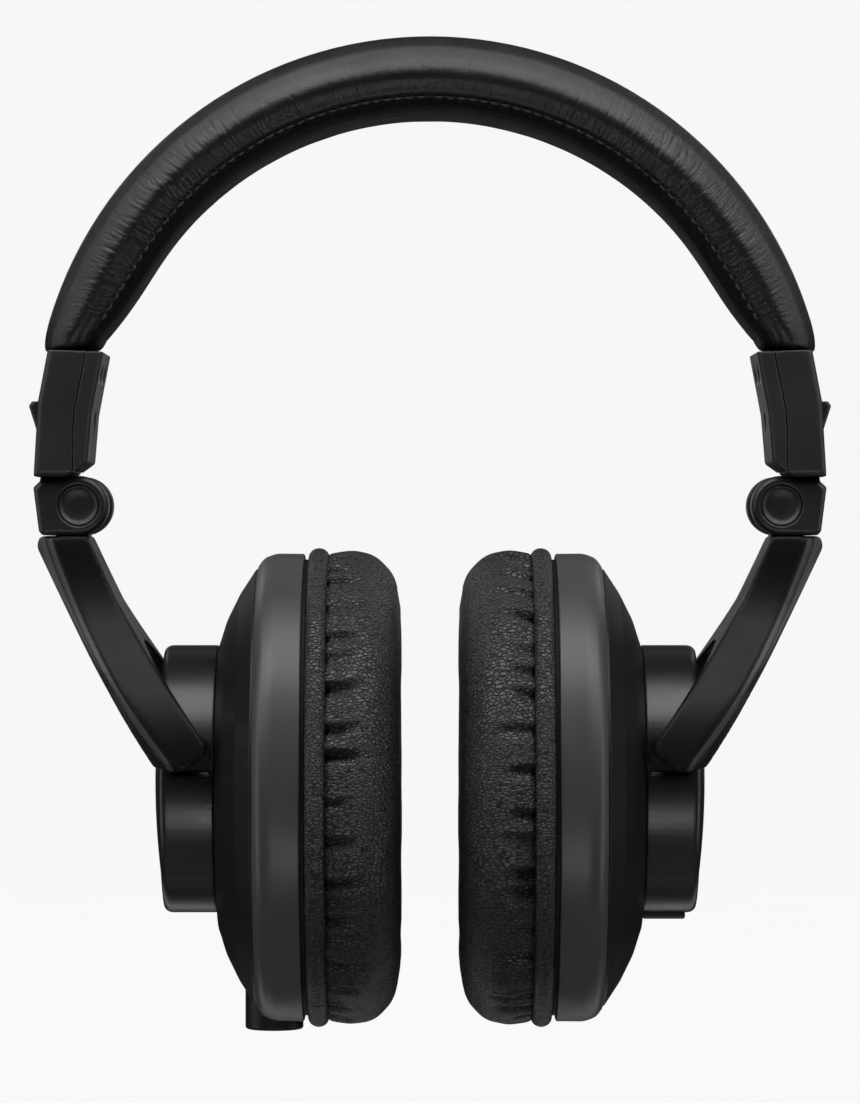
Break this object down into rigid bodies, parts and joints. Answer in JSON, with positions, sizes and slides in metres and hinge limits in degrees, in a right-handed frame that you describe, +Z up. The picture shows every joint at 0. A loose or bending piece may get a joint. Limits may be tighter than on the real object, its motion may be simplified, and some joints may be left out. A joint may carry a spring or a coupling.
{
  "type": "over-ear headphones",
  "caption": "Closed-back over-ear headphones with a padded headband, sliding size adjustment, folding yokes, tilting round cups and a cable socket",
  "frame": {"origin": "underside of the headband at its crown, where it rests on the head", "axes": "+X across the head towards the cup without the socket, +Y from the seen front to the back, +Z up"},
  "size_m": [0.1598, 0.0956, 0.1977],
  "materials": {
    "leather": "satin, fine grain",
    "sleeve_plastic": "fine spark texture",
    "satin_plastic": "satin",
    "shell_plastic": "soft matte",
    "ring_plastic": "satin, turned",
    "spring_steel": "rolled",
    "pin_steel": "turned",
    "dark_metal": "black oxide",
    "inner_plastic": "moulded",
    "diaphragm": "thin film",
    "cloth": "woven",
    "contact_metal": "nickel plated"
  },
  "bodies": {
    "headband": {"headband_pad": "leather", "spring_band": "spring_steel"},
    "arm_left": {"sleeve_outer_left": "sleeve_plastic", "sleeve_inner_left": "sleeve_plastic", "sleeve_screw_left": "dark_metal", "band_rivets_left": "pin_steel", "side_marker_left": "satin_plastic", "detent_spring_left": "spring_steel"},
    "slider_left": {"slider_strip_left": "spring_steel", "hinge_block_left": "satin_plastic", "hinge_pin_left": "pin_steel", "hinge_caps_left": "dark_metal"},
    "yoke_left": {"yoke_left": "satin_plastic", "pivot_pins_left": "pin_steel"},
    "cup_left": {"drum_housing_left": "shell_plastic", "drum_cap_left": "shell_plastic", "back_shell_left": "shell_plastic", "cup_ring_left": "ring_plastic", "baffle_left": "inner_plastic", "baffle_screws_left": "dark_metal", "driver_frame_left": "inner_plastic", "driver_magnet_left": "dark_metal", "driver_dome_left": "diaphragm", "dust_cloth_left": "cloth", "pad_ring_left": "inner_plastic", "ear_pad_left": "leather", "cable_socket": "shell_plastic", "socket_barrel": "contact_metal"},
    "arm_right": {"sleeve_outer_right": "sleeve_plastic", "sleeve_inner_right": "sleeve_plastic", "sleeve_screw_right": "dark_metal", "band_rivets_right": "pin_steel", "side_marker_right": "satin_plastic", "detent_spring_right": "spring_steel"},
    "slider_right": {"slider_strip_right": "spring_steel", "hinge_block_right": "satin_plastic", "hinge_pin_right": "pin_steel", "hinge_caps_right": "dark_metal"},
    "yoke_right": {"yoke_right": "satin_plastic", "pivot_pins_right": "pin_steel"},
    "cup_right": {"drum_housing_right": "shell_plastic", "drum_cap_right": "shell_plastic", "back_shell_right": "shell_plastic", "cup_ring_right": "ring_plastic", "baffle_right": "inner_plastic", "baffle_screws_right": "dark_metal", "driver_frame_right": "inner_plastic", "driver_magnet_right": "dark_metal", "driver_dome_right": "diaphragm", "dust_cloth_right": "cloth", "pad_ring_right": "inner_plastic", "ear_pad_right": "leather", "port_lip": "shell_plastic"}
  },
  "joints": [
    {"name": "flex_left", "type": "hinge", "parent": "headband", "child": "arm_left", "pos_m": [0, 0, 0.0075], "axis": [0, -1, 0], "range_deg": [-15, 0], "deforming": ["headband_pad", "spring_band"]},
    {"name": "size_left", "type": "slide", "parent": "arm_left", "child": "slider_left", "axis": [-0.0877, 0, -0.9961], "range_m": [0, 0.025]},
    {"name": "fold_left", "type": "hinge", "parent": "slider_left", "child": "yoke_left", "pos_m": [-0.0696, 0, -0.0784], "axis": [0, -1, 0], "range_deg": [0, 75], "deforming": ["ear_pad_left"]},
    {"name": "tilt_left", "type": "hinge", "parent": "yoke_left", "child": "cup_left", "pos_m": [-0.0465, 0, -0.1274], "axis": [0, -1, 0], "range_deg": [-10, 10]},
    {"name": "flex_right", "type": "hinge", "parent": "headband", "child": "arm_right", "pos_m": [0, 0, 0.0075], "axis": [0, -1, 0], "range_deg": [0, 15]},
    {"name": "size_right", "type": "slide", "parent": "arm_right", "child": "slider_right", "axis": [0.0877, 0, -0.9961], "range_m": [0, 0.025]},
    {"name": "fold_right", "type": "hinge", "parent": "slider_right", "child": "yoke_right", "pos_m": [0.0696, 0, -0.0784], "axis": [0, -1, 0], "range_deg": [-75, 0], "deforming": ["ear_pad_right"]},
    {"name": "tilt_right", "type": "hinge", "parent": "yoke_right", "child": "cup_right", "pos_m": [0.0465, 0, -0.1274], "axis": [0, -1, 0], "range_deg": [-10, 10]}
  ],
  "couplings": [
    {"joint": "flex_right", "follows": "fold_left", "ratio": 0.2},
    {"joint": "flex_left", "follows": "fold_right", "ratio": 0.2}
  ]
}
